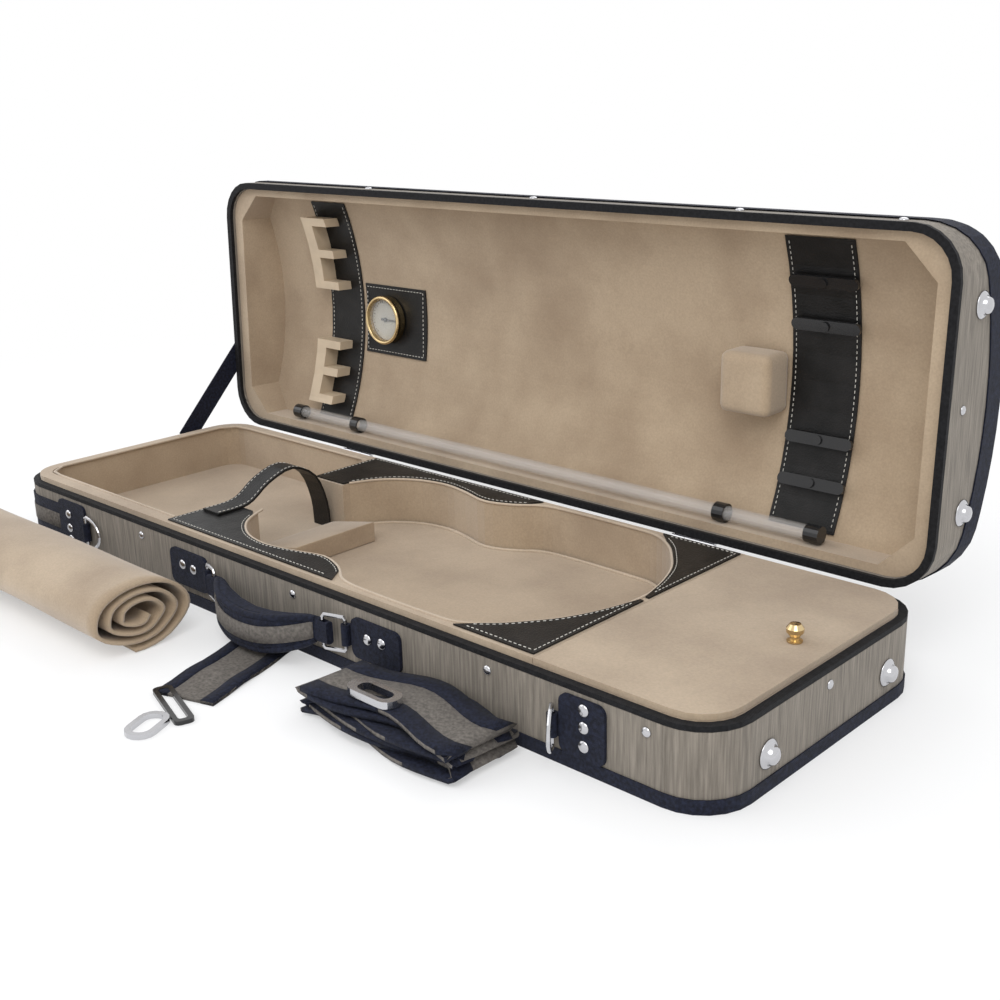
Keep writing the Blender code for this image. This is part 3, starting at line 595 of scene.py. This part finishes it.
def bundle():
    """The rest of the shoulder strap, folded back and forth in flat layers."""
    low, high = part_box("strap_bundle")
    layers = 6
    gap = (high[2] - low[2] - 0.0065) / (layers - 1)
    route = []
    for layer in range(layers):
        z = low[2] + 0.0034 + gap * layer
        ends = (low[0] + 0.014 + 0.004 * (layer % 3), high[0] - 0.012 - 0.005 * (layer % 2))
        if layer % 2:
            ends = ends[::-1]
        for step in range(13):
            t = step / 12
            x = ends[0] + (ends[1] - ends[0]) * t
            y = -0.163 + 0.006 * math.sin(6 * t + layer)
            route.append((x, y, z + 0.0012 * math.sin(9 * t + 2 * layer)))
        if layer < layers - 1:
            way = 1 if ends[1] > ends[0] else -1
            route.append((ends[1] + way * gap * 0.8, -0.163, z + gap / 2))
    made = ribbon("folded_strap", route, BUNDLE_SLANT, 0.054, 0.0026, GREY_TAPE)
    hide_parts("strap_bundle")
    for word, offset in (("front", -BORDER_OFFSET), ("back", BORDER_OFFSET)):
        line = [(x, y + offset, z) for x, y, z in route]
        name = "folded_strap_border_" + word
        ribbon(name, line, BUNDLE_SLANT, 0.015, 0.0034, LOOKS["navy"])


def strap():
    """The strap's flat run on the floor: a grey tape between navy borders."""
    start = Vector((-0.005, -0.1295, 0.0016))
    end = Vector((0.028, -0.2300, 0.0016))
    route = [start.lerp(end, step / 12) + Vector((0, 0, 0.0008 * math.sin(step))) for step in range(13)]
    route = [(x, y, max(z, 0.0013)) for x, y, z in route]
    made = ribbon("strap_run", route, STRAP_SLANT, 0.050, 0.0022, GREY_TAPE)
    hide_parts("shoulder_strap")
    side = Vector(STRAP_SLANT).normalized()
    for word, offset in (("left", -BORDER_OFFSET), ("right", BORDER_OFFSET)):
        line = [tuple(Vector(point) + side * offset) for point in route]
        name = "strap_run_border_" + word
        ribbon(name, line, STRAP_SLANT, 0.011, 0.0026, LOOKS["navy"])


def end_trim():
    """Grey tape in the middle of the navy band round the left end."""
    half_x = LENGTH / 2 + 0.0017
    half_y = DEPTH / 2 + 0.0017
    corner = 0.0375
    centre = -half_x + corner
    route = [(-0.322, -half_y)]
    for step in range(9):
        turn = math.pi / 2 * step / 8
        route.append((centre - corner * math.sin(turn), -half_y + corner - corner * math.cos(turn)))
    route += [(x, -y) for x, y in reversed(route)]
    shape = bmesh.new()
    rows = []
    for x, y in route:
        rows.append([shape.verts.new((x, y, 0.020)), shape.verts.new((x, y, 0.034))])
    for first, second in zip(rows, rows[1:]):
        shape.faces.new((first[0], first[1], second[1], second[0]))
    mesh = bpy.data.meshes.new("end_tape")
    shape.to_mesh(mesh)
    shape.free()
    mesh.shade_smooth()
    made = finish_piece(bpy.data.objects.new("end_tape", mesh), "base", GREY_TAPE)
    thick = made.modifiers.new("web", "SOLIDIFY")
    thick.thickness = 0.0006
    thick.offset = 0


def stay():
    """The webbing that stops the lid: a copy of its CAD strap, cut finer, in navy."""
    item = frame["nodes"]["stay_strap"]
    mesh = item.data.copy()
    made = bpy.data.objects.new("stay_webbing", mesh)
    made.matrix_world = item.matrix_world
    shape = bmesh.new()
    shape.from_mesh(mesh)
    bmesh.ops.subdivide_edges(shape, edges=shape.edges, cuts=8, use_grid_fill=True)
    shape.to_mesh(mesh)
    shape.free()
    made.data.materials.clear()
    made.data.materials.append(LOOKS["navy"])
    bpy.context.scene.collection.objects.link(made)
    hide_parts("stay_strap")
    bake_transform(made)


def seen(tree):
    """1 where the camera looks straight, by reflection or through something clear."""
    rays = node(tree, "ShaderNodeLightPath")
    total = rays.outputs["Is Camera Ray"]
    for kind in ("Is Glossy Ray", "Is Transmission Ray"):
        most = node(tree, "ShaderNodeMath", operation="MAXIMUM")
        tree.links.new(total, most.inputs[0])
        tree.links.new(rays.outputs[kind], most.inputs[1])
        total = most.outputs[0]
    return total


def mix_shaders(tree, factor, first, second, surface):
    choose = node(tree, "ShaderNodeMixShader")
    tree.links.new(factor, choose.inputs["Fac"])
    tree.links.new(first, choose.inputs[1])
    tree.links.new(second, choose.inputs[2])
    tree.links.new(choose.outputs["Shader"], surface)


def floor_look():
    """Pale near the object, where its shadow falls, and plain white further out."""
    made, tree, bsdf = shader("floor", (0.93, 0.93, 0.93), 0.9)
    away = node(tree, "ShaderNodeVectorMath", operation="LENGTH")
    tree.links.new(coordinates(tree, (1, 1, 1)), away.inputs[0])
    reach = {"From Min": 0.45, "From Max": 1.25, "To Min": 0.40, "To Max": 1.0}
    fade = node(tree, "ShaderNodeMapRange", reach)
    tree.links.new(away.outputs["Value"], fade.inputs["Value"])
    share = node(tree, "ShaderNodeMath", operation="MULTIPLY")
    tree.links.new(fade.outputs["Result"], share.inputs[0])
    tree.links.new(seen(tree), share.inputs[1])
    white = node(tree, "ShaderNodeEmission", {"Color": (1, 1, 1, 1), "Strength": 1.0})
    surface = tree.nodes["Material Output"].inputs["Surface"]
    mix_shaders(tree, share.outputs[0], bsdf.outputs["BSDF"], white.outputs["Emission"], surface)
    return made


def stage():
    """A pale floor, soft lamps and a pale world."""
    mesh = bpy.data.meshes.new("floor")
    shape = bmesh.new()
    bmesh.ops.create_grid(shape, x_segments=1, y_segments=1, size=6)
    shape.to_mesh(mesh)
    shape.free()
    floor = bpy.data.objects.new("floor", mesh)
    floor.location.z = -0.0002
    mesh.materials.append(floor_look())
    bpy.context.scene.collection.objects.link(floor)
    world = bpy.context.scene.world or bpy.data.worlds.new("world")
    bpy.context.scene.world = world
    world.use_nodes = True
    background = world.node_tree.nodes["Background"]
    background.inputs["Color"].default_value = (0.95, 0.96, 0.98, 1)
    background.inputs["Strength"].default_value = 0.80
    white = node(world.node_tree, "ShaderNodeBackground", {"Color": (1, 1, 1, 1), "Strength": 1.0})
    surface = world.node_tree.nodes["World Output"].inputs["Surface"]
    lit = background.outputs["Background"]
    mix_shaders(world.node_tree, seen(world.node_tree), lit, white.outputs["Background"], surface)
    lamps = [("key", (1.1, -1.3, 1.9), 1.6, 24), ("fill", (-1.6, -1.0, 1.5), 1.8, 10),
             ("back", (-0.3, 1.6, 1.6), 1.4, 8)]
    for name, place, size, power in lamps:
        lamp = bpy.data.lights.new(name, "AREA")
        lamp.size = size
        lamp.energy = power
        item = bpy.data.objects.new(name, lamp)
        item.location = place
        item.rotation_euler = (Vector(place) - Vector((0, 0, 0.08))).to_track_quat("Z", "Y").to_euler()
        bpy.context.scene.collection.objects.link(item)
    bpy.context.scene.view_settings.view_transform = "Standard"


def camera():
    """A lens at the photograph's place, tilted and rolled as it was."""
    lens = bpy.data.cameras.new("camera")
    lens.lens = LENS
    lens.sensor_width = 36
    item = bpy.data.objects.new("camera", lens)
    forward = Vector((-math.sin(YAW) * math.cos(PITCH), math.cos(YAW) * math.cos(PITCH), -math.sin(PITCH)))
    right = Vector((math.cos(YAW), math.sin(YAW), 0))
    up = right.cross(forward)
    tilted_right = math.cos(ROLL) * right + math.sin(ROLL) * up
    tilted_up = -math.sin(ROLL) * right + math.cos(ROLL) * up
    turn = Matrix((tilted_right, tilted_up, -forward)).transposed().to_4x4()
    item.matrix_world = Matrix.Translation(EYE) @ turn
    bpy.context.scene.collection.objects.link(item)
    bpy.context.scene.camera = item


camera()
stage()
dress_nodes()
cavity_trim()
panel_stitching()
band_stitching()
studs()
feet()
grip_trim()
strap_stitching()
hygrometer_face()
wedge()
foam()
blanket()
strap()
bundle()
end_trim()
stay()

bpy.context.view_layer.update()
